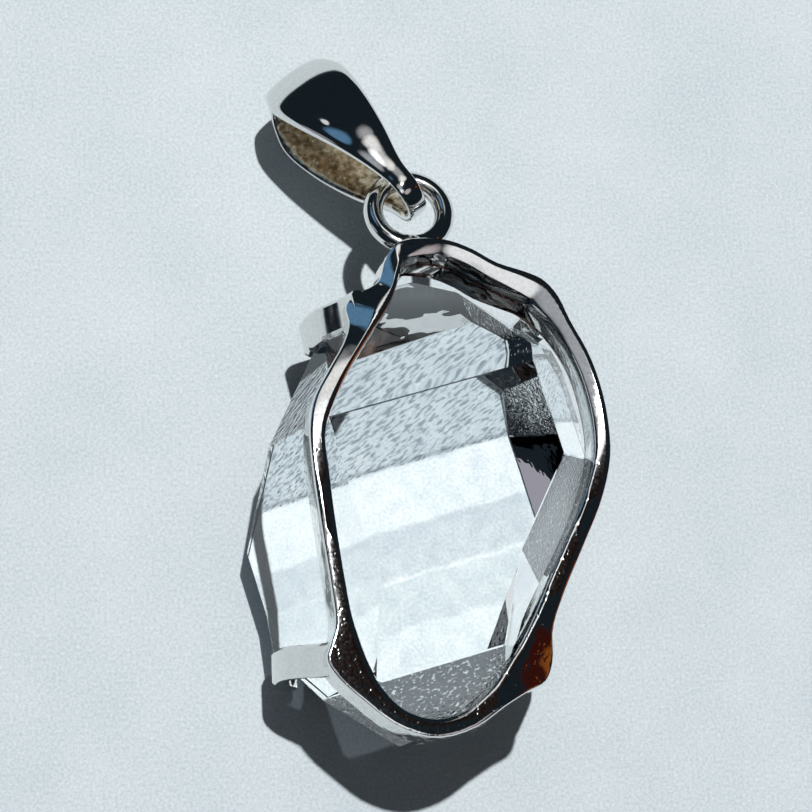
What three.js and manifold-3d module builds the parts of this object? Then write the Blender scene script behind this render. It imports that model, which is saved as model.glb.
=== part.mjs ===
// A herkimer diamond pendant lying face down: one clear, doubly terminated quartz crystal in a
// cast sterling-silver setting with a hanging ring and a bail. Millimetres, +Z up.
// The origin is on the surface that the crystal's front face rests on, and +Y points to the bail.
import * as THREE from 'three';
import { LoftGeometry } from 'three/addons/geometries/LoftGeometry.js';
import { mergeVertices } from 'three/addons/utils/BufferGeometryUtils.js';
import Module from 'manifold-3d';

const wasm = await Module();
wasm.setup();

// The quartz crystal. Quartz grows with fixed angles, so only the distance of each face from
// the crystal's centre is free. Each list goes once round the prism, starting with the back face.
const CRYSTAL_CENTRE = new THREE.Vector3(0, 0, 4.3);
const CRYSTAL_LEAN_DEG = 15.35;
const TERMINATION_TO_PRISM_DEG = 38.2;
const PRISM_FACES = [6.5, 8.0, 6.5, 4.3, 9.3, 8.1];
const UPPER_FACES = [8.6, 10.4, 8.6, 7.02, 8.1, 9.9];
const LOWER_FACES = [9.9, 5.9, 6.0, 7.71, 9.9, 12.2];
const UPPER_END_FACE = 12.3;
const LOWER_END_FACE = 10.8;
// Three shallow growth faces step the front face back towards both ends, as [turn, distance].
const FRONT_STEPS = [[14, 4.97], [-5, 4.484], [-10, 4.855]];
// Near its lower end the crystal grew on in two places, each with a face of its own in place of
// one of the others: the compass angle that it faces, how far it looks up, its distance, and
// the distance of that growth's end face.
const REGROWN_FACES = [
  { insteadOf: ['prism', 5], facing: 175.7, upDeg: 30, distance: 6.98, end: 10.75 },
  { insteadOf: ['lower', 1], facing: -12.9, upDeg: 23.1, distance: 5.49, end: 9.7 },
];
const BLOCK = 60;

// The setting. Its rim is an open loop of heavy wire, drawn by its outer and inner edge.
const FIT_GAP = 0.3;
const RIM_TOP = 11.2;
const RIM_HEIGHT = 2.25;
const RIM_ROUNDING = 0.2;
const RIM_STEPS = 132;
const WALL_RIDGE = 0.06;
// Each station is [outer x, outer y, inner x, inner y, lean of the inner wall, tip of the top face],
// where a tip above nought lowers the top's inner edge by that much and one below nought its outer edge.
const RIM_STATIONS = [
  [-2.9, 13.05, -2.75, 12.0, 0.3, 0.04],
  [-0.65, 13.2, -0.95, 12.35, 0.7, 0.13],
  [0.75, 12.75, 0.4, 11.95, 0.75, 0.15],
  [2.1, 12.0, 1.6, 11.25, 0.75, 0.16],
  [3.65, 11.5, 2.95, 10.55, 0.6, 0.2],
  [4.5, 11.1, 3.7, 10.1, 0.45, 0.22],
  [5.2, 10.3, 4.3, 9.45, 0.3, 0.2],
  [5.8, 8.95, 5.0, 8.5, 0.1, 0.14],
  [6.7, 7.15, 5.9, 6.8, 0, 0.1],
  [7.25, 5.3, 6.4, 5.15, 0, 0.07],
  [7.5, 3.35, 6.65, 3.35, 0, 0.05],
  [7.45, 1.7, 6.55, 1.75, 0, 0.03],
  [6.85, -0.45, 5.95, -0.1, 0, 0],
  [5.8, -2.7, 4.9, -2.35, 0, 0],
  [4.6, -5.2, 3.65, -4.85, 0.1, 0],
  [4.0, -6.9, 2.95, -6.3, 0.2, -0.14],
  [3.95, -8.5, 2.2, -7.65, 0.3, -0.4],
  [3.55, -9.45, 1.55, -8.6, 0.3, -0.42],
  [2.6, -9.95, 0.95, -9.45, 0.3, -0.2],
  [1.4, -10.65, 0.3, -10.15, 0.2, 0],
  [-0.2, -11.7, -0.75, -10.9, 0.1, 0],
  [-2.2, -12.2, -2.2, -11.25, 0, 0],
  [-4.1, -11.65, -3.7, -10.8, 0, 0],
  [-5.8, -10.35, -4.8, -9.7, 0, 0],
  [-7.1, -9.1, -5.4, -8.55, 0, 0],
  [-7.55, -8.25, -5.7, -7.75, 0, 0],
  [-7.3, -7.4, -5.9, -7.05, 0, 0],
  [-7.05, -6.5, -6.15, -6.1, 0, 0],
  [-7.2, -4.5, -6.4, -4.45, 0, 0],
  [-7.5, -2.0, -6.7, -2.0, 0, 0],
  [-7.85, 1.35, -6.98, 1.15, 0, 0],
  [-7.92, 3.4, -7.1, 3.15, 0, -0.03],
  [-7.65, 4.85, -6.65, 4.5, 0, -0.06],
  [-6.85, 6.3, -5.85, 6.15, 0, -0.07],
  [-6.0, 7.75, -4.95, 7.6, 0, -0.16],
  [-5.65, 8.8, -4.3, 8.6, 0, -0.38],
  [-5.75, 9.75, -3.8, 9.3, 0, -0.52],
  [-5.2, 10.35, -3.45, 9.95, 0, -0.48],
  [-4.1, 10.95, -3.2, 10.55, 0, -0.26],
  [-3.65, 12.2, -2.95, 11.35, 0.1, -0.14],
];

// The four claws: broad straps that run down from the rim's corners and hook under the crystal.
// Each has its foot on the rim, the compass angle that it faces, how far out it passes the
// crystal's widest edge, how high that is, how far it leans sideways, and where its tip ends.
const CLAW_WIDTH = 1.65;
const CLAW_THICKNESS = 0.75;
const CLAW_STEPS = 26;
const CLAWS = {
  upperLeft: { foot: [-4.95, 9.75], facing: 192, reach: 1.85, bend: 5.6, slant: 0, tip: [0.35, 4.1] },
  upperRight: { foot: [4.75, 9.65], facing: 32, reach: 0.1, bend: 5.6, slant: 0, tip: [-1.1, 3.5] },
  lowerRight: { foot: [3.3, -8.4], facing: -27, reach: 0.8, bend: 4.6, slant: 1.2, tip: [-0.5, 2.0] },
  lowerLeft: { foot: [-6.85, -8.1], facing: 180, reach: 1.9, bend: 4.5, slant: -0.5, tip: [0.9, 1.6] },
};

// The hanging ring is a closed ring of round wire, soldered into a seat in the rim's top corner.
const RING_CENTRE = new THREE.Vector3(-1.63, 15.55, 7.8);
const RING_RADIUS = 1.88;
const RING_WIRE = 1.02;
const RING_TILT_DEG = 12;

// The bail is one strap bent to a long teardrop loop, wide at its round end. It hangs on the
// ring's wire, where it swings.
const HANG_ANGLE_DEG = 113;
const BAIL_DIRECTION_DEG = 124.9;
const BAIL_PITCH_DEG = 26;
const BAIL_ROLL_DEG = -4;
const BAIL_STRAP = 0.45;
const BAIL_STEPS = 72;
// The strap's outside is domed: [share of its half width, share of the crown's height] across it.
const BAIL_CROWN_HEIGHT = 0.2;
const BAIL_CROWN = [
  [1, -0.55], [0.95, 0.1], [0.82, 0.5], [0.5, 0.85], [0, 1],
  [-0.5, 0.85], [-0.82, 0.5], [-0.95, 0.1], [-1, -0.55],
];
// Half of the loop, as [distance from the hanging point, strap width, height above the middle].
const BAIL_HALF_LOOP = [
  [-1.95, 1.1, 0], [-1.5, 1.2, 1.05], [-0.2, 1.4, 1.45], [2.0, 2.7, 2.1],
  [4.7, 4.1, 2.1], [6.8, 4.6, 1.7], [8.05, 3.8, 1.1], [8.4, 3.3, 0],
];

const SILVER = { color: 0xc9cbce, roughness: 0.12, metalness: 1.0 };
const QUARTZ = { color: 0xf4f8fa, roughness: 0.03, metalness: 0.0, transparent: true, opacity: 0.45 };
const radians = THREE.MathUtils.degToRad;

// A closed three.js geometry as a solid that can be joined and cut.
function solidOf(geometry) {
  const plain = new THREE.BufferGeometry();
  plain.setAttribute('position', geometry.getAttribute('position'));
  plain.setIndex(geometry.index);
  const merged = mergeVertices(plain, 1e-5);
  const triangles = [];
  for (let i = 0; i < merged.index.count; i += 3) {
    const corners = [merged.index.getX(i), merged.index.getX(i + 1), merged.index.getX(i + 2)];
    if (new Set(corners).size === 3) {
      triangles.push(...corners);
    }
  }
  return new wasm.Manifold(new wasm.Mesh({
    numProp: 3,
    vertProperties: new Float32Array(merged.attributes.position.array),
    triVerts: new Uint32Array(triangles),
  }));
}

// A solid back as a flat-shaded three.js geometry.
function geometryOf(solid) {
  const mesh = solid.getMesh();
  const geometry = new THREE.BufferGeometry();
  geometry.setAttribute('position', new THREE.BufferAttribute(mesh.vertProperties, 3));
  geometry.setIndex(new THREE.BufferAttribute(mesh.triVerts, 1));
  geometry.computeVertexNormals();
  return geometry;
}

function meshOf(name, geometry, look) {
  const mesh = new THREE.Mesh(geometry, new THREE.MeshStandardMaterial(look));
  mesh.name = name;
  return mesh;
}

// The crystal's own axes: out of the back face, across it, and up along the prism.
const lean = radians(CRYSTAL_LEAN_DEG);
const crystalOut = new THREE.Vector3(0, 0, 1);
const crystalAcross = new THREE.Vector3(Math.cos(lean), Math.sin(lean), 0);
const crystalUp = new THREE.Vector3(-Math.sin(lean), Math.cos(lean), 0);

// The direction of a face: number 0 to 5 round the prism, turned up or down to a termination.
function faceDirection(number, turnDeg) {
  const round = radians(60 * number);
  const side = crystalOut.clone().multiplyScalar(Math.cos(round));
  side.addScaledVector(crystalAcross, Math.sin(round));
  const turn = radians(turnDeg);
  return side.multiplyScalar(Math.cos(turn)).addScaledVector(crystalUp, Math.sin(turn));
}

// Everything outside one flat face, as a block to cut away.
function outsideFace(direction, distance) {
  const block = new THREE.BoxGeometry(BLOCK, BLOCK, BLOCK);
  block.translate(0, 0, BLOCK / 2 + distance);
  const turn = new THREE.Quaternion().setFromUnitVectors(new THREE.Vector3(0, 0, 1), direction);
  block.applyQuaternion(turn);
  block.translate(CRYSTAL_CENTRE.x, CRYSTAL_CENTRE.y, CRYSTAL_CENTRE.z);
  return solidOf(block);
}

// One convex quartz body: a block with every face cut at its distance, plus some spare.
function quartzBody(spare, regrown) {
  const turns = { prism: 0, upper: TERMINATION_TO_PRISM_DEG, lower: -TERMINATION_TO_PRISM_DEG };
  const rings = { prism: PRISM_FACES, upper: UPPER_FACES, lower: LOWER_FACES };
  let body = solidOf(new THREE.BoxGeometry(BLOCK / 2, BLOCK / 2, BLOCK / 2));
  Object.entries(rings).forEach(([ring, distances]) => {
    distances.forEach((distance, number) => {
      const left = regrown && regrown.insteadOf[0] === ring && regrown.insteadOf[1] === number;
      if (!left) {
        body = body.subtract(outsideFace(faceDirection(number, turns[ring]), distance + spare));
      }
    });
  });
  if (regrown) {
    const up = radians(regrown.upDeg);
    const facing = radians(regrown.facing);
    const flat = Math.cos(up);
    const direction = new THREE.Vector3(flat * Math.cos(facing), flat * Math.sin(facing), Math.sin(up));
    body = body.subtract(outsideFace(direction, regrown.distance + spare));
  }
  FRONT_STEPS.forEach(([turnDeg, distance]) => {
    body = body.subtract(outsideFace(faceDirection(3, turnDeg), distance + spare));
  });
  const end = regrown ? regrown.end : LOWER_END_FACE;
  body = body.subtract(outsideFace(faceDirection(0, 90), UPPER_END_FACE + spare));
  return body.subtract(outsideFace(faceDirection(0, -90), end + spare));
}

// The whole crystal: the main body joined with its two regrown places.
function quartzCrystal(spare) {
  let crystal = quartzBody(spare, null);
  REGROWN_FACES.forEach((regrown) => {
    crystal = crystal.add(quartzBody(spare, regrown));
  });
  return crystal;
}

// The rim: a loft round closed outer and inner edges, with its top edges rounded.
function rimLoop() {
  const outer = new THREE.CatmullRomCurve3(RIM_STATIONS.map(([x, y]) => new THREE.Vector3(x, y, 0)), true);
  const inner = new THREE.CatmullRomCurve3(RIM_STATIONS.map(([, , x, y]) => new THREE.Vector3(x, y, 0)), true);
  const falls = new THREE.CatmullRomCurve3(RIM_STATIONS.map((row) => new THREE.Vector3(row[4], row[5], 0)), true);
  const low = RIM_TOP - RIM_HEIGHT;
  const sections = [];
  for (let i = 0; i <= RIM_STEPS; i += 1) {
    const along = (i % RIM_STEPS) / RIM_STEPS;
    const o = outer.getPoint(along);
    const n = inner.getPoint(along);
    const inward = n.clone().sub(o).normalize();
    const fall = falls.getPoint(along);
    const innerTop = RIM_TOP - Math.max(fall.y, 0);
    const outerTop = RIM_TOP + Math.min(fall.y, 0);
    const level = fall.y > 0 ? o.clone().lerp(n, 0.35) : o.clone().lerp(n, 0.7);
    const foot = n.clone().addScaledVector(inward, fall.x);
    const at = (point, shift, z) => new THREE.Vector3(point.x + inward.x * shift, point.y + inward.y * shift, z);
    const wall = (share, shift) => {
      const point = n.clone().lerp(foot, share);
      return at(point, shift, THREE.MathUtils.lerp(innerTop - RIM_ROUNDING, low, share));
    };
    sections.push([
      at(o, RIM_ROUNDING * 0.5, low),
      at(o, 0, low + RIM_ROUNDING * 0.5),
      at(o, 0, outerTop - RIM_ROUNDING),
      at(o, RIM_ROUNDING * 0.3, outerTop - RIM_ROUNDING * 0.3),
      at(o, RIM_ROUNDING, outerTop),
      at(level, 0, RIM_TOP),
      at(n, -RIM_ROUNDING, innerTop),
      at(n, -RIM_ROUNDING * 0.3, innerTop - RIM_ROUNDING * 0.3),
      wall(0, 0),
      wall(0.3, WALL_RIDGE),
      wall(0.5, -WALL_RIDGE),
      wall(0.75, WALL_RIDGE),
      at(foot, 0, low + RIM_ROUNDING * 0.5),
      at(foot, -RIM_ROUNDING * 0.5, low),
    ]);
  }
  return new LoftGeometry(sections);
}

// One claw: a flat strap along a path that drops from the rim, rounds the crystal and hooks in.
function clawStrap({ foot, facing, reach, bend, slant, tip }) {
  const path = new THREE.CatmullRomCurve3([
    new THREE.Vector3(0, 0, RIM_TOP - 0.55),
    new THREE.Vector3(reach * 0.25, slant * 0.1, RIM_TOP - 1.6),
    new THREE.Vector3(reach * 0.9, slant * 0.6, bend + (RIM_TOP - bend) * 0.42),
    new THREE.Vector3(reach, slant, bend),
    new THREE.Vector3(reach - 0.3, slant, bend - (bend - tip[1]) * 0.6),
    new THREE.Vector3(tip[0], slant, tip[1]),
  ]);
  const half = [CLAW_THICKNESS / 2, CLAW_WIDTH / 2];
  const corner = 0.16;
  const sections = [];
  for (let i = 0; i <= CLAW_STEPS; i += 1) {
    const point = path.getPoint(i / CLAW_STEPS);
    const tangent = path.getTangent(i / CLAW_STEPS);
    const across = new THREE.Vector3(tangent.z, 0, -tangent.x).normalize();
    const outline = [
      [half[0] - corner, -half[1]], [half[0], -half[1] + corner],
      [half[0], half[1] - corner], [half[0] - corner, half[1]],
      [-half[0] + corner, half[1]], [-half[0], half[1] - corner],
      [-half[0], -half[1] + corner], [-half[0] + corner, -half[1]],
    ];
    sections.push(outline.map(([u, v]) => point.clone().addScaledVector(across, u).add(new THREE.Vector3(0, v, 0))));
  }
  const strap = new LoftGeometry(sections, { capStart: true, capEnd: true });
  strap.rotateZ(radians(facing));
  strap.translate(foot[0], foot[1], 0);
  return strap;
}

function hangingRing(wire) {
  const ring = new THREE.TorusGeometry(RING_RADIUS, wire / 2, 16, 48);
  ring.rotateX(radians(-RING_TILT_DEG));
  ring.translate(RING_CENTRE.x, RING_CENTRE.y, RING_CENTRE.z);
  return ring;
}

// The setting is one casting: rim and claws, with the crystal's seat and the ring's seat cut in.
function setting() {
  let casting = solidOf(rimLoop());
  Object.values(CLAWS).forEach((claw) => {
    casting = casting.add(solidOf(clawStrap(claw)));
  });
  casting = casting.subtract(quartzCrystal(FIT_GAP));
  return casting.subtract(solidOf(hangingRing(RING_WIRE + 2 * FIT_GAP)));
}

// The point of the ring's wire that the bail hangs on.
function hangingPoint() {
  const angle = radians(HANG_ANGLE_DEG);
  const point = new THREE.Vector3(RING_RADIUS * Math.cos(angle), RING_RADIUS * Math.sin(angle), 0);
  return point.applyAxisAngle(new THREE.Vector3(1, 0, 0), radians(-RING_TILT_DEG)).add(RING_CENTRE);
}

// The bail in its own frame: X along its length, Y across the strap, Z through the loop.
function bailLoop() {
  const lower = BAIL_HALF_LOOP.slice(1, -1).reverse().map(([x, width, z]) => [x, width, -z]);
  const points = [...BAIL_HALF_LOOP, ...lower].map(([x, width, z]) => new THREE.Vector3(x, width, z));
  const path = new THREE.CatmullRomCurve3(points, true);
  const half = BAIL_STRAP / 2;
  const sections = [];
  for (let i = 0; i <= BAIL_STEPS; i += 1) {
    const along = (i % BAIL_STEPS) / BAIL_STEPS;
    const point = path.getPoint(along);
    const side = point.y / 2;
    point.y = 0;
    const tangent = path.getTangent(along).setY(0).normalize();
    const out = new THREE.Vector3(-tangent.z, 0, tangent.x);
    const dome = BAIL_CROWN.map(([share, height]) => [half + BAIL_CROWN_HEIGHT * side * height, side * share]);
    const outline = [...dome, [-half * 0.7, -side * 0.95], [-half, 0], [-half * 0.7, side * 0.95]];
    sections.push(outline.map(([u, v]) => point.clone().addScaledVector(out, u).add(new THREE.Vector3(0, v, 0))));
  }
  return new LoftGeometry(sections);
}

function bail() {
  const loop = bailLoop();
  loop.rotateX(radians(BAIL_ROLL_DEG));
  loop.rotateY(radians(BAIL_PITCH_DEG));
  loop.rotateZ(radians(BAIL_DIRECTION_DEG));
  const at = hangingPoint();
  loop.translate(at.x, at.y, at.z);
  return loop;
}

const pendant = new THREE.Group();
pendant.add(meshOf('crystal', geometryOf(quartzCrystal(0)), QUARTZ));
pendant.add(meshOf('setting', geometryOf(setting()), SILVER));
pendant.add(meshOf('hanging_ring', geometryOf(solidOf(hangingRing(RING_WIRE))), SILVER));
pendant.add(meshOf('bail', geometryOf(solidOf(bail())), SILVER));

export default pendant;
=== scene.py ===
# %% [markdown]
# # A clear quartz crystal in a silver pendant setting
#
# The pendant lies face down on pale paper in strong light from almost straight above. Its
# measured solids come in first as a fixed frame. Each piece is then finished around them.

# %% The frame
import bpy
import math
from mathutils import Matrix, Vector


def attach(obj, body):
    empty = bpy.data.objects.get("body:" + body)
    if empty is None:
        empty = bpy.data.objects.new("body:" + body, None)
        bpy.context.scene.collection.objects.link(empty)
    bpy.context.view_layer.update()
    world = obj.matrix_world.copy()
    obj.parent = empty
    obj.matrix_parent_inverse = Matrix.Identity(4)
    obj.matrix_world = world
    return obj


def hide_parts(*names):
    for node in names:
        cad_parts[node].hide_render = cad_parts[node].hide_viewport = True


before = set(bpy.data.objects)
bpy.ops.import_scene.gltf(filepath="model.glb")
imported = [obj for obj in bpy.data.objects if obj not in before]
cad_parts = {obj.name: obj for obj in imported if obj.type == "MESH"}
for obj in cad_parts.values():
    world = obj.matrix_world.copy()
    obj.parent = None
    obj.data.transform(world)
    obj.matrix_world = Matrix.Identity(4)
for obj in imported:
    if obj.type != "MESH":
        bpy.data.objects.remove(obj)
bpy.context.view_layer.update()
MM = 0.001
print("solids:", sorted(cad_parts))

# %% [markdown]
# ## Camera
#
# The camera is set first, because every later comparison depends on it. It stands 170 mm from
# the pendant, above its lower left side, and has a long lens, so edges stay almost parallel. A
# camera can be aimed by eye, but here its place, axes and lens were fitted to the photo, so the
# solids fall where the photo shows them.

# %% Camera
CAMERA_AT = Vector((-35.52, -31.65, 163.46)) * MM
CAMERA_RIGHT = Vector((0.9791, -0.0469, 0.1981))
CAMERA_BACK = Vector((-0.2035, -0.2258, 0.9527)).normalized()
SENSOR_MM = 36.0
FOCAL_PIXELS = 3200
PICTURE_PIXELS = 812
NEAREST, FARTHEST = 0.01, 5.0

camera_up = CAMERA_BACK.cross(CAMERA_RIGHT).normalized()
camera_right = camera_up.cross(CAMERA_BACK)
bpy.ops.object.camera_add()
camera = bpy.context.object
camera.matrix_world = Matrix.Translation(CAMERA_AT) @ Matrix(
    (camera_right, camera_up, CAMERA_BACK)).transposed().to_4x4()
camera.data.sensor_width = SENSOR_MM
camera.data.lens = SENSOR_MM * FOCAL_PIXELS / PICTURE_PIXELS
camera.data.clip_start = NEAREST
camera.data.clip_end = FARTHEST
bpy.context.scene.camera = camera
print("camera: %.0f mm lens, %.0f mm away" % (camera.data.lens, CAMERA_AT.length / MM))

# %% [markdown]
# ## Colours and nodes
#
# Materials here are built from nodes, since the script may read no image. Colours are written as
# the hex values that a screen shows and are turned to linear light in one place. A node is made
# with its settings and inputs in one call, and an input takes either a value or another node's
# output, so a material reads from top to bottom as its layers do.

# %% Helpers for colours and nodes
def linear(hex_colour):
    channels = [int(hex_colour[i:i + 2], 16) / 255 for i in (1, 3, 5)]
    return tuple(c / 12.92 if c <= 0.04045 else ((c + 0.055) / 1.055) ** 2.4
                 for c in channels) + (1.0,)


def feed(tree, socket, value):
    if isinstance(value, bpy.types.NodeSocket):
        tree.links.new(value, socket)
    else:
        socket.default_value = value


def node(tree, kind, settings=None, inputs=None):
    made = tree.nodes.new("ShaderNode" + kind)
    for name, value in (settings or {}).items():
        setattr(made, name, value)
    for name, value in (inputs or {}).items():
        feed(tree, made.inputs[name], value)
    return made


def new_material(name):
    material = bpy.data.materials.new(name)
    material.use_nodes = True
    shader = material.node_tree.nodes["Principled BSDF"]
    return material, material.node_tree, shader


# %% [markdown]
# A few patterns come back in every material: where on the piece a point lies, a noise whose spots
# have a size in millimetres, a number moved from one range to another, a ramp of colours, a bump,
# and a mix of two colours. Each gets a helper of its own.

# %% Helpers for the layers of a material
def place_on(tree):
    return node(tree, "TexCoord").outputs["Object"]


def noise(tree, place, spot_mm, detail, **more):
    inputs = {"Vector": place, "Scale": 1 / (spot_mm * MM), "Detail": detail, **more}
    return node(tree, "TexNoise", inputs=inputs).outputs[0]


def rescale(tree, value, start, end, low=0.0, high=1.0, curve="LINEAR"):
    return node(tree, "MapRange", {"interpolation_type": curve}, {
        "Value": value, "From Min": start, "From Max": end,
        "To Min": low, "To Max": high}).outputs[0]


def ramp(tree, value, colours):
    made = node(tree, "ValToRGB", inputs={"Fac": value})
    stops = made.color_ramp.elements
    for number, (position, colour) in enumerate(colours):
        stop = stops[number] if number < len(stops) else stops.new(1.0)
        stop.position = position
        stop.color = linear(colour)
    return made.outputs[0]


def bump(tree, height, depth_mm, strength=1.0, sunken=False, **under):
    return node(tree, "Bump", {"invert": sunken}, {
        "Height": height, "Strength": strength, "Distance": depth_mm * MM, **under}).outputs[0]


def share_along(tree, vector, direction):
    return node(tree, "VectorMath", {"operation": "DOT_PRODUCT"},
                {0: vector, 1: direction}).outputs["Value"]


def calculate(tree, operation, first, second):
    return node(tree, "Math", {"operation": operation}, {0: first, 1: second}).outputs[0]


def mix_colours(tree, factor, first, second, blend="MIX"):
    mixed = node(tree, "Mix", {"data_type": "RGBA", "blend_type": blend}, {"Factor": factor})
    sockets = [socket for socket in mixed.inputs if socket.type == "RGBA"]
    for socket, colour in zip(sockets, (first, second)):
        feed(tree, socket, colour)
    return next(socket for socket in mixed.outputs if socket.type == "RGBA")


# %% [markdown]
# ## Pieces
#
# Most visible pieces start as a copy of their measured solid, so they keep its size and place. The
# copy's doubled corners are merged and its stored shading is cleared, since both get in the way of
# bevels and smooth shading. Modifiers are applied at once, so that later cells work on real faces.

# %% Helpers for pieces
SAME_CORNER_MM = 0.002


def only(piece):
    bpy.ops.object.select_all(action="DESELECT")
    piece.select_set(True)
    bpy.context.view_layer.objects.active = piece


def copy_of(solid, name):
    only(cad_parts[solid])
    bpy.ops.object.duplicate()
    piece = bpy.context.object
    piece.name = name
    piece.data.materials.clear()
    bpy.ops.object.mode_set(mode="EDIT")
    bpy.ops.mesh.select_all(action="SELECT")
    bpy.ops.mesh.remove_doubles(threshold=SAME_CORNER_MM * MM)
    bpy.ops.mesh.customdata_custom_splitnormals_clear()
    bpy.ops.object.mode_set(mode="OBJECT")
    return piece


def apply_modifier(piece, kind, **settings):
    modifier = piece.modifiers.new(kind.lower(), kind)
    for name, value in settings.items():
        setattr(modifier, name, value)
    only(piece)
    bpy.ops.object.modifier_apply(modifier=modifier.name)


# %% [markdown]
# ## Clear quartz
#
# Rock crystal bends light by an index of 1.544 and has hardly any colour. The crystal grew its
# faces, nobody cut them: most are mirror smooth, and one shallow face on the far side carries fine
# growth ripples, which bend what is seen through it, with dark dashes painted along them for the
# shade that they throw. Glass that refracts lamp light in full needs very many samples. So lamp
# light, and light that has bounced off the paper, go straight through here, tinted, and the paper
# below the crystal is still lit.

# %% Quartz material
QUARTZ_COLOUR = "#FAFCFD"
QUARTZ_INDEX = 1.544


def ripples(tree, spacing_mm, stretch, turn_deg):
    turned = node(tree, "Mapping", {"vector_type": "TEXTURE"}, {
        "Vector": place_on(tree), "Rotation": (0, 0, math.radians(turn_deg)),
        "Scale": (stretch, 1.0, 1.0)}).outputs[0]
    return noise(tree, turned, spacing_mm, 1.0, Distortion=0.2)


def mix_shaders(tree, where, elsewhere, there):
    return node(tree, "MixShader", inputs={0: where, 1: elsewhere, 2: there}).outputs[0]


def quartz_material(name, ripple, height_mm, lamp_share, light_bands=None, marks_and_painted_shade=None):
    """Takes ripple as (spacing in mm, stretch, turn in degrees), and marks as a ramp's colours."""
    material, tree, shader = new_material(name)
    shader.inputs["Base Color"].default_value = linear(QUARTZ_COLOUR)
    shader.inputs["Roughness"].default_value = 0.0
    shader.inputs["IOR"].default_value = QUARTZ_INDEX
    shader.inputs["Transmission Weight"].default_value = 1.0
    height = ripples(tree, *ripple)
    feed(tree, shader.inputs["Normal"], bump(tree, height, height_mm))
    if marks_and_painted_shade:
        feed(tree, shader.inputs["Base Color"], ramp(tree, height, marks_and_painted_shade))
    through = node(tree, "BsdfTransparent", inputs={"Color": linear(lamp_share)})
    if light_bands:
        feed(tree, through.inputs["Color"], light_bands(tree))
    ray = node(tree, "LightPath").outputs
    lamp = mix_shaders(tree, ray["Is Shadow Ray"], shader.outputs[0], through.outputs[0])
    bounced = mix_shaders(tree, ray["Is Diffuse Ray"], lamp, through.outputs[0])
    feed(tree, tree.nodes["Material Output"].inputs["Surface"], bounced)
    return material


# %% [markdown]
# ## Painted bands of light
#
# Bands of brighter and dimmer light are painted into the light that the front face lets through to
# the paper, a painted pattern of light and shade below the crystal. The bands run across the
# crystal, so they are measured along its length, and a slow noise keeps their borders uneven. The
# crystal also gathers light like a lens, which a straight path can't do. So the light that it lets
# through is multiplied by 1.6 to 1.8.

# %% Painted bands of light under the front face
LEAN = math.radians(15.35)
CRYSTAL_UP = Vector((-math.sin(LEAN), math.cos(LEAN), 0))
POOLING = (1.80, 1.71, 1.64)
LIGHT_BANDS_REACH_MM = 9
LIGHT_BANDS = [
    (-9.0, "#F4F8F9"), (-4.9, "#F4F8F9"), (-4.75, "#E2E8EA"), (-2.5, "#E2E8EA"),
    (-2.42, "#FBFDFD"), (-2.2, "#DDE2E5"), (0.1, "#DADFE3"), (0.3, "#F6F9FA"),
    (3.2, "#F6F9FA"), (3.4, "#CBD3D8"), (9.0, "#CBD3D8"),
]
BORDER_SPOT_MM, BORDER_SHIFT_MM = 2.2, 0.2
LIGHT_MOTTLE_SPOT_MM = 0.9
LIGHT_MOTTLE = [(0.3, "#E9ECEF"), (0.7, "#FFFFFF")]


def painted_light_bands(tree):
    place = place_on(tree)
    along = share_along(tree, place, CRYSTAL_UP)
    cloud = noise(tree, place, BORDER_SPOT_MM, 2.0)
    shift = rescale(tree, cloud, 0.2, 0.8, -BORDER_SHIFT_MM * MM, BORDER_SHIFT_MM * MM)
    uneven = calculate(tree, "ADD", along, shift)
    share = rescale(tree, uneven, -LIGHT_BANDS_REACH_MM * MM, LIGHT_BANDS_REACH_MM * MM)
    stops = [((at_mm + LIGHT_BANDS_REACH_MM) / (2 * LIGHT_BANDS_REACH_MM), colour) for at_mm, colour in LIGHT_BANDS]
    # painted bands of brighter and dimmer light, mottled below, for the paper under the crystal
    light_bands = ramp(tree, share, stops)
    mottle = ramp(tree, noise(tree, place, LIGHT_MOTTLE_SPOT_MM, 4.0), LIGHT_MOTTLE)
    mottled = mix_colours(tree, 1.0, light_bands, mottle, "MULTIPLY")
    return node(tree, "VectorMath", {"operation": "MULTIPLY"},
                {0: mottled, 1: POOLING}).outputs["Vector"]


# %% [markdown]
# Each kind of face has a look of its own. The level back is the window that one looks through, so it
# is almost flat. The front carries the painted bands of light, and one part of it the ripples, with
# dark dashes painted along them. Steep and sloping faces let little lamp light through, since they
# turn most of it aside. The etched face at the lower end is covered with tiny pits, and one edge of
# the window carries a thin painted dark line, a painted shade.

# %% The looks of the crystal's faces
quartz_level = quartz_material("quartz_level_face", (1.6, 1.0, 0), 0.004, "#FFFFFF")
# the front face paints bands of light and shade onto the paper below it
quartz_front = quartz_material("quartz_front_face", (0.5, 1.7, 35), 0.006, "#FFFFFF", painted_light_bands)
quartz_sloping = quartz_material("quartz_sloping_face", (1.3, 1.0, 0), 0.006, "#4A4F53")
# dark dashes are painted along the ripples, a painted shade
quartz_rippled_painted_dashes = quartz_material("quartz_rippled_face_painted_dashes", (0.13, 3.8, 36), 0.04, "#FFFFFF",
                                 painted_light_bands, marks_and_painted_shade=[(0.36, "#889094"), (0.54, "#FFFFFF")])
quartz_turned = quartz_material("quartz_steep_face", (1.3, 1.0, 0), 0.008, "#5A6064")
quartz_etched = quartz_material("quartz_etched_face", (0.15, 1.4, 25), 0.08, "#3A3F43",
                                marks_and_painted_shade=[(0.58, "#424346"), (0.8, "#D0D5D6")])
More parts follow.
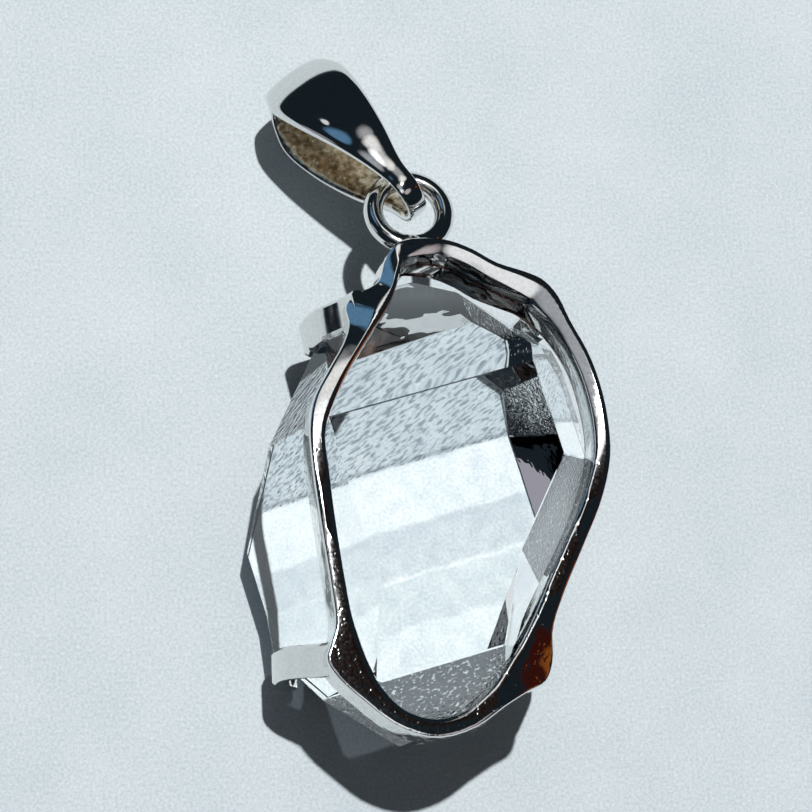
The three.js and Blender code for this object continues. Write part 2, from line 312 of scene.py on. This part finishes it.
# a thin painted dark line on one edge of the window, a painted shade
quartz_painted_dark_edge = quartz_material("quartz_edge_painted_dark_line", (0.3, 1.0, 0), 0.01, "#8A9094",
                              marks_and_painted_shade=[(0.3, "#1E2022"), (0.7, "#3A3E41")])
quartz_looks = [quartz_level, quartz_front, quartz_sloping, quartz_rippled_painted_dashes, quartz_turned,
                quartz_etched, quartz_painted_dark_edge]
print("quartz looks:", [look.name for look in quartz_looks])

# %% [markdown]
# ## Silver
#
# The setting, ring and bail are polished sterling silver, a near-perfect mirror, so its look is
# mostly what it reflects. Hand polishing leaves it slightly wavy, which bends the reflections.
# A smooth metal shader alone would look like chrome. So a slow bump makes the waves, a fine one
# makes the grain, and the same grain varies the tone and the shine. Inside the bail the polish stops
# and the silver has dulled to a warm brown. On the rim's inner wall a dark brown is painted in, a
# painted shade and a painted brown reflection.

# %% Silver material
TONE_FROM, TONE_TO = 0.35, 0.65
SHINE_FROM, SHINE_TO = 0.3, 0.7
DENT_SPOT_MM = 0.3
DENT_FROM, DENT_TO = 0.56, 0.74
DENTS_FADE_IN_MM, DENTS_FULL_MM = 6, -2


def add_dents(tree, place, dent_mm, polish):
    """Adds small dents, which fade in towards the lower half of the rim."""
    spots = noise(tree, place, DENT_SPOT_MM, 1.0)
    depth = rescale(tree, spots, DENT_FROM, DENT_TO, curve="SMOOTHSTEP")
    height = node(tree, "SeparateXYZ", inputs={0: place}).outputs["Y"]
    lower = rescale(tree, height, DENTS_FADE_IN_MM * MM, DENTS_FULL_MM * MM)
    return bump(tree, calculate(tree, "MULTIPLY", depth, lower), dent_mm, sunken=True,
                Normal=polish)


def silver_material(name, colours, roughness, wave, grain, dent_mm=0.0):
    """Takes wave and grain as (size of a spot, height), both in mm."""
    material, tree, shader = new_material(name)
    shader.inputs["Metallic"].default_value = 1.0
    place = place_on(tree)
    waves = noise(tree, place, wave[0], 1.0)
    grains = noise(tree, place, grain[0], 3.0)
    tone = ramp(tree, grains, [(TONE_FROM, colours[0]), (TONE_TO, colours[1])])
    feed(tree, shader.inputs["Base Color"], tone)
    feed(tree, shader.inputs["Roughness"], rescale(tree, grains, SHINE_FROM, SHINE_TO, *roughness))
    polish = bump(tree, grains, grain[1], Normal=bump(tree, waves, wave[1]))
    if dent_mm:
        polish = add_dents(tree, place, dent_mm, polish)
    feed(tree, shader.inputs["Normal"], polish)
    return material


# %% [markdown]
# The silver has five finishes: the bail's polish, the ring's wavier wire, the cast rim with its few
# dents, the dulled inside of the bail, and the rim's inner wall with its painted dark brown shade
# and reflection. The first three share their tones, shine and grain, and differ only in how wavy
# they are.

# %% The silver finishes
STERLING = ("#DCDCDA", "#E8E8E6")
MIRROR = (0.03, 0.06)
FINE_GRAIN = (0.16, 0.0004)
silver_polished = silver_material("sterling_silver_polished", STERLING, MIRROR, (1.5, 0.012),
                                  FINE_GRAIN)
silver_wire = silver_material("sterling_silver_wire", STERLING, MIRROR, (0.9, 0.04), FINE_GRAIN)
silver_cast = silver_material("sterling_silver_cast", STERLING, MIRROR, (1.2, 0.016), FINE_GRAIN,
                              dent_mm=0.005)
silver_brushed = silver_material("sterling_silver_brushed", ("#A8987E", "#FBF4E6"), (0.14, 0.28),
                                 (0.9, 0.06), (0.3, 0.012))
# painted shade and painted brown reflection for the rim's inner wall
silver_inner_wall_painted_shade = silver_material("sterling_silver_inner_wall_painted_shade", ("#4A2E26", "#9A7A70"),
                                (0.06, 0.2), (0.8, 0.06), (0.35, 0.01))
print("silver finishes:", [material.name for material in bpy.data.materials
                           if material.name.startswith("sterling")])

# %% [markdown]
# ## Crystal
#
# The crystal is one clear stone with points at both ends. Its measured solid has the grown faces
# already, cut into triangles. Triangles that lie in one plane are joined, so that only true edges
# are left for the bevel. Corners that nearly touch are merged, because one very short edge would
# shrink the whole bevel. The bevel then gives the edges the fine line that a real crystal's show.

# %% Crystal shape
FLAT_DEG = 0.5
SHORT_EDGE_MM = 0.06
EDGE_WEAR_MM = 0.045
SHARP_EDGE_DEG = 8

crystal = copy_of("crystal", "crystal_growth_faces")
bpy.ops.object.mode_set(mode="EDIT")
bpy.ops.mesh.select_all(action="SELECT")
bpy.ops.mesh.dissolve_limited(angle_limit=math.radians(FLAT_DEG))
bpy.ops.mesh.remove_doubles(threshold=SHORT_EDGE_MM * MM)
bpy.ops.mesh.dissolve_limited(angle_limit=math.radians(FLAT_DEG))
bpy.ops.object.mode_set(mode="OBJECT")
apply_modifier(crystal, "BEVEL", width=EDGE_WEAR_MM * MM, segments=1, limit_method="ANGLE",
               angle_limit=math.radians(SHARP_EDGE_DEG), use_clamp_overlap=False)
print("crystal faces:", len(crystal.data.polygons))

# %% [markdown]
# A face's look follows from where it faces, so nothing has to be picked by hand: Z says how far it
# looks up or down, and the crystal's own length says whether it leans to the upper or lower end.
# The painted dark line across the upper part of the window, a painted shade, is one bevel face,
# found by its direction, halfway between the level back and the termination face that it meets
# there.

# %% Crystal looks
UPPER_EDGE = (Vector((0, 0, 1)) + Vector((-0.16, 0.60, 0.79))).normalized()
SAME_DIRECTION = 0.995
FRONT_BELOW, SLOPING_BELOW = -0.9, -0.3
LEVEL_ABOVE, TERMINATION_ABOVE = 0.95, 0.3
RIPPLED_ABOVE, ETCHED_BELOW = 0.15, -0.55


def look_of(face):
    upward = face.normal.dot(CRYSTAL_UP)
    if face.normal.dot(UPPER_EDGE) > SAME_DIRECTION:
        return quartz_painted_dark_edge
    if face.normal.z < FRONT_BELOW:
        return quartz_rippled_painted_dashes if upward > RIPPLED_ABOVE else quartz_front
    if face.normal.z < SLOPING_BELOW:
        return quartz_sloping
    if face.normal.z > LEVEL_ABOVE:
        return quartz_level
    if face.normal.z > TERMINATION_ABOVE:
        return quartz_etched if upward < ETCHED_BELOW else quartz_level
    return quartz_turned


for look in quartz_looks:
    crystal.data.materials.append(look)
for face in crystal.data.polygons:
    face.material_index = quartz_looks.index(look_of(face))
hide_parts("crystal")
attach(crystal, "pendant")
print("faces of each look:", [sum(face.material_index == number for face in crystal.data.polygons)
                              for number in range(len(quartz_looks))])

# %% [markdown]
# ## Setting
#
# The rim and its four claws are cast in one piece, and they keep the solid's own faces. Plain smooth
# shading bends the level tops too, and a streak of light then runs over the whole width of the rim.
# So each corner's normal is an average in which a large face counts for more than a small one, and
# faces across a sharp edge don't count: the tops stay flat mirrors and only the edges bend light.

# %% Normals weighted by area
AREA_POWER = 1.5


def weigh_normals(piece, limit):
    faces = piece.data.polygons
    around = [[] for _ in piece.data.vertices]
    for face in faces:
        for corner in face.vertices:
            around[corner].append(face)
    normals = []
    for face in faces:
        for corner in face.vertices:
            near = [other for other in around[corner]
                    if other.normal.angle(face.normal, 0) < limit]
            total = sum((other.normal * other.area ** AREA_POWER for other in near), Vector())
            normals.append(total.normalized())
    piece.data.shade_smooth()
    piece.data.normals_split_custom_set(normals)


# %% Setting
SMOOTH_DEG = 38
RIM_MIDDLE = Vector((-0.4, 0.6, 0)) * MM
RIM_FROM_MM = 9.0
INWARD_ABOVE, WALL_BELOW = 0.55, 0.75

setting = copy_of("setting", "setting_cast_rim_and_claws")
weigh_normals(setting, math.radians(SMOOTH_DEG))
setting.data.materials.append(silver_cast)
setting.data.materials.append(silver_inner_wall_painted_shade)
# faces on the upper inner wall get the painted dark brown shade
for face in setting.data.polygons:
    inward = (RIM_MIDDLE - face.center).normalized().dot(face.normal)
    on_inner_wall = inward > INWARD_ABOVE and face.normal.z < WALL_BELOW
    face.material_index = int(face.center.z > RIM_FROM_MM * MM and on_inner_wall)
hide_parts("setting")
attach(setting, "pendant")
print("setting faces:", len(setting.data.polygons), "of them in the recess:",
      sum(face.material_index for face in setting.data.polygons))

# %% [markdown]
# ## Hanging ring
#
# The ring is round wire bent to a circle. The solid's facets would show as bands in a mirror, so
# the ring is made anew as a torus of the same size, with finer steps. It lies nearly level, tipped
# a little so that its far side is lower.

# %% Hanging ring
RING_AT = Vector((-1.63, 15.55, 7.8)) * MM
RING_RADIUS_MM, WIRE_RADIUS_MM = 1.88, 0.51
RING_TIP_DEG = -12
RING_STEPS, WIRE_STEPS = 96, 32

bpy.ops.object.select_all(action="DESELECT")
bpy.ops.mesh.primitive_torus_add(
    major_radius=RING_RADIUS_MM * MM, minor_radius=WIRE_RADIUS_MM * MM, major_segments=RING_STEPS,
    minor_segments=WIRE_STEPS, location=RING_AT, rotation=(math.radians(RING_TIP_DEG), 0, 0))
ring = bpy.context.object
ring.name = "hanging_ring_wire"
bpy.ops.object.transform_apply(location=True, rotation=True, scale=True)
bpy.ops.object.shade_smooth()
ring.data.materials.append(silver_wire)
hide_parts("hanging_ring")
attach(ring, "pendant")
print("ring faces:", len(ring.data.polygons))

# %% [markdown]
# ## Solder joint
#
# The ring is soldered to the rim's top corner. The joint is a short neck, widest along the wire and
# drawn in where it crosses the gap, as solder draws itself. It could be a curve with a bevel, but
# a stack of ovals of given width says the shape more directly. Both its ends lie inside the metal.

# %% Solder joint shape
JOINT_ON_RING = Vector((-1.63, 13.75, 8.2))
JOINT_ON_RIM = Vector((-1.7, 12.75, 9.4))
JOINT_WAIST, JOINT_END, JOINT_WIDENING = 0.38, 0.5, 1.5
JOINT_FLARE, WAIST_AT, WAIST_HALF_LENGTH = 0.08, 0.47, 0.14
JOINT_LOOPS, JOINT_SIDES = 17, 32

joint_axis = (JOINT_ON_RIM - JOINT_ON_RING).normalized()
joint_side = joint_axis.cross(Vector((1, 0, 0))).normalized()
joint_across = joint_side.cross(joint_axis) * JOINT_WIDENING
joint_points = []
for loop in range(JOINT_LOOPS):
    share = loop / (JOINT_LOOPS - 1)
    flare = JOINT_FLARE * ((share - WAIST_AT) / WAIST_HALF_LENGTH) ** 2
    radius = min(JOINT_END, JOINT_WAIST + flare)
    for step in range(JOINT_SIDES):
        turn = 2 * math.pi * step / JOINT_SIDES
        offset = joint_across * math.cos(turn) + joint_side * math.sin(turn)
        joint_points.append((JOINT_ON_RING.lerp(JOINT_ON_RIM, share) + offset * radius) * MM)
last_loop = (JOINT_LOOPS - 1) * JOINT_SIDES
joint_faces = [list(range(JOINT_SIDES))[::-1], list(range(last_loop, last_loop + JOINT_SIDES))]
for loop in range(JOINT_LOOPS - 1):
    for step in range(JOINT_SIDES):
        a = loop * JOINT_SIDES + step
        b = loop * JOINT_SIDES + (step + 1) % JOINT_SIDES
        joint_faces.append([a, b, b + JOINT_SIDES, a + JOINT_SIDES])
print("solder joint: %d points, %d faces" % (len(joint_points), len(joint_faces)))

# %% Solder joint
joint_mesh = bpy.data.meshes.new("ring_solder_joint")
joint_mesh.from_pydata(joint_points, [], joint_faces)
joint = bpy.data.objects.new("ring_solder_joint", joint_mesh)
bpy.context.collection.objects.link(joint)
only(joint)
bpy.ops.object.mode_set(mode="EDIT")
bpy.ops.mesh.select_all(action="SELECT")
bpy.ops.mesh.normals_make_consistent(inside=False)
bpy.ops.object.mode_set(mode="OBJECT")
bpy.ops.object.shade_smooth()
joint.data.materials.append(silver_wire)
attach(joint, "pendant")
print("solder joint faces:", len(joint.data.polygons))

# %% [markdown]
# ## Bail
#
# The bail is one strap of silver bent to a long teardrop loop, wide at its round end. Its narrow
# end goes through the ring, where it swings. The solid's steps are turned into four-sided faces and
# subdivided, which rounds the bend and the strap's domed outside at once. The outside is polished,
# and the inside, which the polishing wheel doesn't reach, stays brushed and has dulled.

# %% Bail shape
QUAD_FACE_DEG, QUAD_SHAPE_DEG = 40, 60
BAIL_LEVELS = 2

bail = copy_of("bail", "bail_strap_loop")
bpy.ops.object.mode_set(mode="EDIT")
bpy.ops.mesh.tris_convert_to_quads(face_threshold=math.radians(QUAD_FACE_DEG),
                                   shape_threshold=math.radians(QUAD_SHAPE_DEG))
bpy.ops.object.mode_set(mode="OBJECT")
apply_modifier(bail, "SUBSURF", levels=BAIL_LEVELS, render_levels=BAIL_LEVELS)
only(bail)
bpy.ops.object.shade_smooth()
print("bail faces:", len(bail.data.polygons))

# %% [markdown]
# A face is on the inside when it faces the middle of the loop. The loop is long, so the way along
# it counts for only a quarter. Otherwise the long sides, which face across the loop, would hardly
# count as facing its middle.

# %% Bail looks
BAIL_DIRECTION, BAIL_PITCH = math.radians(124.9), math.radians(26)
BAIL_HANGS_AT = Vector((-2.36, 17.24, 7.44)) * MM
BAIL_MIDDLE_MM = 3.4
LENGTH_LEFT_OUT = 0.75
INSIDE_BELOW = -0.35

bail_along = Vector((math.cos(BAIL_DIRECTION), math.sin(BAIL_DIRECTION),
                     -math.sin(BAIL_PITCH))).normalized()
bail_middle = BAIL_HANGS_AT + bail_along * BAIL_MIDDLE_MM * MM
bail.data.materials.append(silver_polished)
bail.data.materials.append(silver_brushed)
for face in bail.data.polygons:
    from_middle = face.center - bail_middle
    from_middle -= bail_along * from_middle.dot(bail_along) * LENGTH_LEFT_OUT
    face.material_index = int(face.normal.dot(from_middle.normalized()) < INSIDE_BELOW)
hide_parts("bail")
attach(bail, "bail")
print("bail faces on the inside:", sum(face.material_index for face in bail.data.polygons))

# %% [markdown]
# ## Paper
#
# The pendant lies on pale paper, which is no part of it. The paper is pale blue-grey, with fine
# fibres and faint clouds. Both are noises: a fine one for the fibres, which also raises them, and a
# coarse one for the clouds.

# %% Paper
PAPER_SIZE = 1.2
PAPER_DROP_MM = 0.02
FIBRE_MM, CLOUD_MM = 0.16, 7
CLOUD_SHARE = 0.25
PAPER_TONES = [(0.35, "#AAB5BB"), (0.65, "#C6CDCF")]
FIBRE_HEIGHT_MM, FIBRE_STRENGTH = 0.05, 0.35

bpy.ops.object.select_all(action="DESELECT")
bpy.ops.mesh.primitive_plane_add(size=PAPER_SIZE, location=(0, 0, -PAPER_DROP_MM * MM))
floor = bpy.context.object
floor.name = "paper_floor"
paper, tree, shader = new_material("pale_paper")
place = place_on(tree)
fibres = noise(tree, place, FIBRE_MM, 3.0, Roughness=0.6)
clouds = noise(tree, place, CLOUD_MM, 5.0, Roughness=0.6)
uneven = node(tree, "Mix", {"data_type": "FLOAT"},
              {"Factor": CLOUD_SHARE, "A": fibres, "B": clouds}).outputs[0]
feed(tree, shader.inputs["Base Color"], ramp(tree, uneven, PAPER_TONES))
feed(tree, shader.inputs["Normal"], bump(tree, fibres, FIBRE_HEIGHT_MM, FIBRE_STRENGTH))
shader.inputs["Roughness"].default_value = 0.9
floor.data.materials.append(paper)
print("paper: %.1f m square" % PAPER_SIZE)

# %% [markdown]
# ## Surroundings
#
# Polished silver shows whatever stands around it, and the photo's room isn't in the picture.
# Panels could stand in for it, but so close they would light the paper unevenly. So the
# surroundings are a dark sky with round cards of light in it, each in a direction whose light the
# silver or the crystal sends to the camera. A card is full inside its first angle and gone beyond
# its second. Later cards cover earlier ones, so their order matters.

# %% Surroundings
DARK_SKY = (0.009, 0.015, 0.020)
CARDS = [  # what it is, its direction, the two angles in degrees, its light
    ("the pale half below the horizon", (0, 0, -1), 84, 92, (0.42, 0.45, 0.48)),
    ("grey, low at the left", (-0.97, -0.13, 0.22), 7, 12, (0.34, 0.33, 0.38)),
    ("a small bright window, upper left", (-0.51, 0.67, 0.54), 2, 3, (0.75, 0.78, 0.8)),
    ("blue, upper left", (-0.53, 0.46, 0.72), 6, 13, (0.10, 0.22, 0.37)),
    ("grey, overhead", (-0.20, 0.00, 0.98), 5, 16, (0.40, 0.42, 0.46)),
    ("grey, towards the top", (-0.10, 0.60, 0.79), 1, 10, (0.4, 0.4, 0.42)),
    ("white, towards the top", (-0.03, 0.44, 0.90), 2, 11, (0.95, 0.95, 0.95)),
    ("white, towards the bottom", (-0.05, -0.33, 0.94), 5, 14, (0.95, 0.97, 1.0)),
    ("dark red, at the right", (0.72, -0.10, 0.68), 5, 11, (0.035, 0.006, 0.004)),
    ("amber, at the right", (0.76, -0.11, 0.64), 1, 5, (0.26, 0.075, 0.015)),
    ("rose grey, lower right", (0.37, -0.37, 0.86), 6, 13, (0.50, 0.45, 0.47)),
    ("the glare round the sun", (-0.05, 0.25, 0.97), 2, 7, (1.3, 1.32, 1.35)),
    ("black, which the level rim tops show", (0.2, 0.2, 0.96), 5, 8, (0.010, 0.005, 0.004)),
]

world = bpy.data.worlds.new("studio")
world.use_nodes = True
bpy.context.scene.world = world
tree = world.node_tree
looking = node(tree, "TexCoord").outputs["Generated"]
light = (*DARK_SKY, 1)
for card, direction, inner_deg, outer_deg, colour in CARDS:
    near = share_along(tree, looking, Vector(direction).normalized())
    share = rescale(tree, near, math.cos(math.radians(outer_deg)),
                    math.cos(math.radians(inner_deg)), curve="SMOOTHSTEP")
    light = mix_colours(tree, share, light, (*colour, 1))
    print("card:", card)
feed(tree, tree.nodes["Background"].inputs["Color"], light)
tree.nodes["Background"].inputs["Strength"].default_value = 1.0

# %% [markdown]
# ## Sun
#
# The pendant's shadow is short and fairly sharp, so the sun stands almost straight above, a little
# towards the picture's top. It could be a sun lamp. A small round lamp 0.6 m away does as well in
# a scene this small, and its width sets how soft the shadow's border is. Bent rays don't see the
# lamp: the quartz lets its light straight through already, so they would count it twice.

# %% Sun
SUN_FROM = Vector((-0.04, 0.2, 1)).normalized()
SUN_DISTANCE, SUN_WIDTH, SUN_WATTS = 0.6, 0.012, 4.45

bpy.ops.object.select_all(action="DESELECT")
bpy.ops.object.light_add(type="AREA", location=SUN_FROM * SUN_DISTANCE)
key = bpy.context.object
key.data.shape = "DISK"
key.data.size = SUN_WIDTH
key.data.energy = SUN_WATTS
key.rotation_euler = SUN_FROM.to_track_quat("Z", "Y").to_euler()
key.visible_transmission = False
bpy.context.scene.view_settings.view_transform = "Standard"
print("sun: %.0f degrees from straight above" % math.degrees(SUN_FROM.angle(Vector((0, 0, 1)))))
